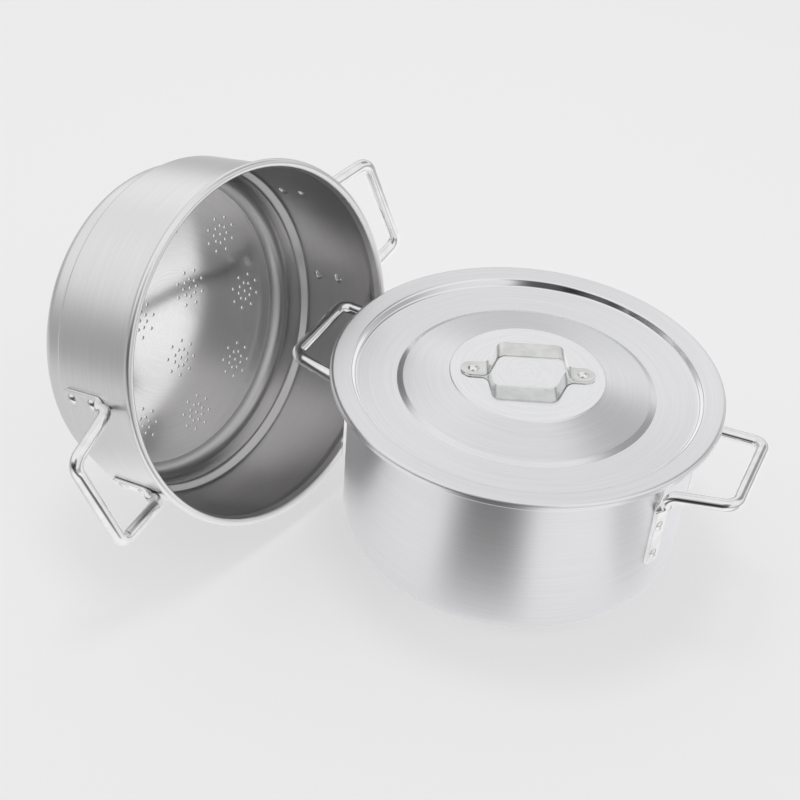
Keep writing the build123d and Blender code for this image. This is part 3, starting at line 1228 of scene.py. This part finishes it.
@dataclass(frozen=True)
class PaintedReflectionShade:
    """A painted dark reflection: a patch of the floor, out from the pot's axis, darkened only where
    reflections see it.

    Args:
        azimuth: its direction in degrees from X.
        inner: the angle from there within which it is full.
        outer: the angle from there at which it ends.
        near: how far from the axis it begins.
        full: how far from the axis it is full.
        amount: the share of the light that it takes.
    """

    azimuth: float
    inner: float
    outer: float
    near: float
    full: float
    amount: float

    def kept(self, x: Value, y: Value, away: Value) -> Value:
        """Returns the share of the light that it leaves: less a smooth step on angle and on distance."""
        turn = np.radians(self.azimuth)
        towards = (x * float(np.cos(turn)) + y * float(np.sin(turn))) / away
        edge, core = cosines(self.outer, self.inner)
        return 1.0 - towards.step(edge, core) * away.step(self.near, self.full) * self.amount


@dataclass
class Studio:
    """The pale floor, the soft light and the camera at the photograph's viewing angle."""

    floor_half: float = 6.0
    floor_depth: float = 0.0004
    floor_grey: float = 0.38
    floor_glow: float = 0.99
    mirrored_share: float = 0.68
    # horizon darkens the world's light near the horizon, and darkens the floor's far part as a painted dark
    # reflection.
    horizon: float = 0.44
    horizon_distances: tuple[float, float] = (0.7, 1.3)
    horizon_heights: tuple[float, float] = (0.10, 0.24)
    backdrop: float = 0.83
    low_grey: float = 0.84
    high_grey: float = 0.94
    # Painted dark reflections: patches of the floor darkened for reflection rays only.
    painted_reflection_shades: tuple[PaintedReflectionShade, ...] = (
        PaintedReflectionShade(-104.0, 4.0, 25.0, 0.16, 0.28, 0.84),
        PaintedReflectionShade(-34.0, 2.0, 14.0, 0.17, 0.25, 0.32),
        PaintedReflectionShade(176.0, 14.0, 38.0, 0.34, 0.46, 0.34),
    )
    patches: tuple[Patch, ...] = (
        Patch(-98.0, 38.0, 8.0, 28.0, -0.74),
        Patch(-103.0, 13.0, 12.0, 28.0, -0.80),
        Patch(-130.0, 12.0, 12.0, 28.0, -0.86),
        Patch(-155.0, 8.0, 8.0, 20.0, -0.60),
        Patch(116.0, 18.0, 6.0, 20.0, 0.14),
        Patch(84.0, 66.0, 6.0, 26.0, -0.14),
        Patch(133.0, 36.0, 6.0, 24.0, -0.06),
        Patch(40.0, 42.0, 10.0, 26.0, -0.62),
        Patch(90.0, 6.0, 3.0, 14.0, -0.30),
    )
    lamp_place: tuple[float, float, float] = (-0.25, 0.35, 2.4)
    lamp_aim: tuple[float, float, float] = (-0.05, 0.0, 0.1)
    lamp_size: float = 0.6
    lamp_watts: float = 9.0
    camera_tilt: float = 0.6574
    camera_roll: float = -0.0798
    camera_place: tuple[float, float, float] = (-0.1064, -1.0017, 0.8972)
    camera_focal: float = 1464.27
    image_width: float = 800.0

    def floor(self) -> None:
        """Adds the pale floor, just below the surface that everything stands on.

        The camera and the reflections see it paler by a soft glow. Reflections alone see painted dark
        reflections: patches of it, and its far part, darkened in colour and glow.
        """
        signs = np.array([[-1.0, -1.0, 0.0], [1.0, -1.0, 0.0], [1.0, 1.0, 0.0], [-1.0, 1.0, 0.0]])
        mesh = bpy.data.meshes.new("floor")
        corners = signs * self.floor_half - UP * self.floor_depth
        mesh.from_pydata(corners.tolist(), [], [(0, 1, 2, 3)])
        shader = Shader(bpy.data.materials.new("pale_floor"))
        x, y, _ = shader.place()
        path = shader.node("LightPath", {}, {})
        mirrored = shader.part(path, "Is Glossy Ray")
        seen = shader.part(path, "Is Camera Ray").math("MAXIMUM", mirrored * self.mirrored_share)
        away = (x * x + y * y) ** 0.5
        # Painted dark reflections: the far part and the patches darken the floor's colour and glow, for
        # reflection rays only.
        kept = 1.0 - away.step(*self.horizon_distances) * self.horizon
        for painted_reflection_shade in self.painted_reflection_shades:
            kept = kept * painted_reflection_shade.kept(x, y, away)
        kept = 1.0 - (1.0 - kept) * mirrored
        cloud = shader.noise(x, y, 0.0, 1.5, 1.0)
        shade = (self.floor_grey + (cloud - 0.5) * 0.01) * kept
        glow = seen * self.floor_glow * kept
        colour, light = (
            shader.node("CombineColor", {}, {0: level, 1: level, 2: level * 1.003}).outputs[0]
            for level in (shade, glow)
        )
        surface = {
            "Base Color": colour,
            "Roughness": 0.8,
            "Specular IOR Level": 0.1,
            "Emission Color": light,
            "Emission Strength": 1.0,
        }
        mesh.materials.append(shader.finished(surface))
        linked("floor", mesh)

    def world(self) -> None:
        """Sets the world: a pale room, darker at the horizon, with soft light and dark patches.

        The camera sees the plain backdrop instead of the patches.
        """
        shader = Shader(bpy.data.worlds.new("studio_room"))
        bpy.context.scene.world = shader.owner
        direction = shader.node("TexCoord", {}, {}).outputs["Generated"]
        height = shader.split(direction)[2]
        strength = self.low_grey + height.step(-0.1, 1.0) * (self.high_grey - self.low_grey)
        strength = strength * (1.0 - (1.0 - height.step(*self.horizon_heights)) * self.horizon)
        for patch in self.patches:
            strength = strength * patch.factor(shader, direction)
        path = shader.node("LightPath", {}, {})
        seen = shader.part(path, "Is Camera Ray")
        strength = strength * (1.0 - seen) + seen * self.backdrop
        white = (1.0, 1.0, 1.0, 1.0)
        background = shader.node("Background", {}, {"Color": white, "Strength": strength})
        shader.node("OutputWorld", {}, {"Surface": background.outputs[0]})

    def lamp(self) -> None:
        """Adds the soft box over the object, which shows in no reflection."""
        light = bpy.data.lights.new("soft_box", "AREA")
        light.size = self.lamp_size
        light.energy = self.lamp_watts
        aim = Vector(self.lamp_aim) - Vector(self.lamp_place)
        lamp = linked("soft_box", light)
        turn = aim.to_track_quat("-Z", "Y").to_matrix().to_4x4()
        lamp.matrix_world = Matrix.Translation(self.lamp_place) @ turn
        lamp.visible_glossy = False

    def camera(self) -> None:
        """Adds the camera: tilted down, rolled a little, with the photograph's angle of view."""
        down, roll = self.camera_tilt, self.camera_roll
        right = np.array([1.0, 0.0, 0.0])
        below = np.array([0.0, -np.sin(down), -np.cos(down)])
        ahead = np.array([0.0, np.cos(down), -np.sin(down)])
        x_axis = np.cos(roll) * right + np.sin(roll) * below
        y_axis = np.sin(roll) * right - np.cos(roll) * below
        lens = bpy.data.cameras.new("camera")
        lens.sensor_width = 36.0
        lens.lens = self.camera_focal / self.image_width * lens.sensor_width
        lens.clip_end = 50.0
        camera = linked("camera", lens)
        place = place_of(np.array(self.camera_place), x_axis, y_axis, -ahead)
        camera.matrix_world = Matrix(place.tolist())
        bpy.context.scene.camera = camera

    def build(self) -> None:
        """Adds the floor, the light and the camera, and leaves the colours as they are written."""
        self.camera()
        self.floor()
        self.world()
        self.lamp()
        bpy.context.scene.view_settings.view_transform = "Standard"


def main() -> None:
    """Builds the studio, the finishes and every piece of the steamer pot."""
    logging.basicConfig(level=logging.INFO, format="%(message)s")
    Studio().build()
    grey, pale = (0.80, 0.80, 0.815), (0.85, 0.85, 0.865)
    satin = Metal("satin_wall", grey, pale, 0.38, stretch=0.75).made()
    # The insert's zones: a polished base, painted shade in the steam holes' bores, and painted shade
    # darkening the whole inner wall.
    inside = (Zone(-1.1, -0.5, 0.15), Zone(-0.001, 0.0007, 0.30, 0.45), Zone(0.153, 0.9, 0.30, 0.62))
    warm, white = (0.81, 0.80, 0.805), (0.87, 0.862, 0.862)
    inner = Metal("satin_insert_painted_shade", warm, white, 0.30, zones=inside).made()
    rings = (Zone(-0.1, 0.066, 0.08), Zone(0.1064, 0.1126, 0.22), Zone(0.1460, 0.1552, 0.11))
    bright = (0.86, 0.86, 0.875)
    spun = Metal(
        "spun_lid", grey, bright, 0.30, around=1.6, depth=0.05, stretch=0.75, zones=rings
    ).made()
    rod = Rod("polished_rod", (0.80, 0.80, 0.80), (0.88, 0.88, 0.88), 0.08, wear=0.05).made()
    strap = Rod("polished_strap", (0.66, 0.67, 0.655), (0.75, 0.76, 0.745), 0.20, wear=0.06).made()
    rivet = Rod("polished_rivet", (0.82, 0.82, 0.82), (0.90, 0.90, 0.90), 0.18, wear=0.05).made()

    pot = Pot(
        name="pot",
        height=POT_HEIGHT,
        handle_height=POT_HEIGHT - POT_HANDLE_BELOW,
        handle_turn=-23.1,
        sides=("right", "left"),
        handle=SideHandle(plate_length=0.0585, rivet_edge=0.0175),
    )
    pot.build(satin)
    pot.fit_handles(rod, rivet, "pot")
    lid = Lid()
    lid.build(spun)
    lid.fit_handle(strap, rivet)
    steamer = Steamer(
        name="steamer",
        height=STEAMER_HEIGHT,
        handle_height=STEAMER_HEIGHT - STEAMER_HANDLE_BELOW,
        handle_turn=-75.1,
        sides=("lower", "upper"),
        handle=SideHandle(plate_length=0.0395, rivet_edge=0.0055),
        place=Rest().place(),
    )
    steamer.build(inner)
    steamer.fit_handles(rod, rivet, "steamer")


if __name__ == "__main__":
    main()
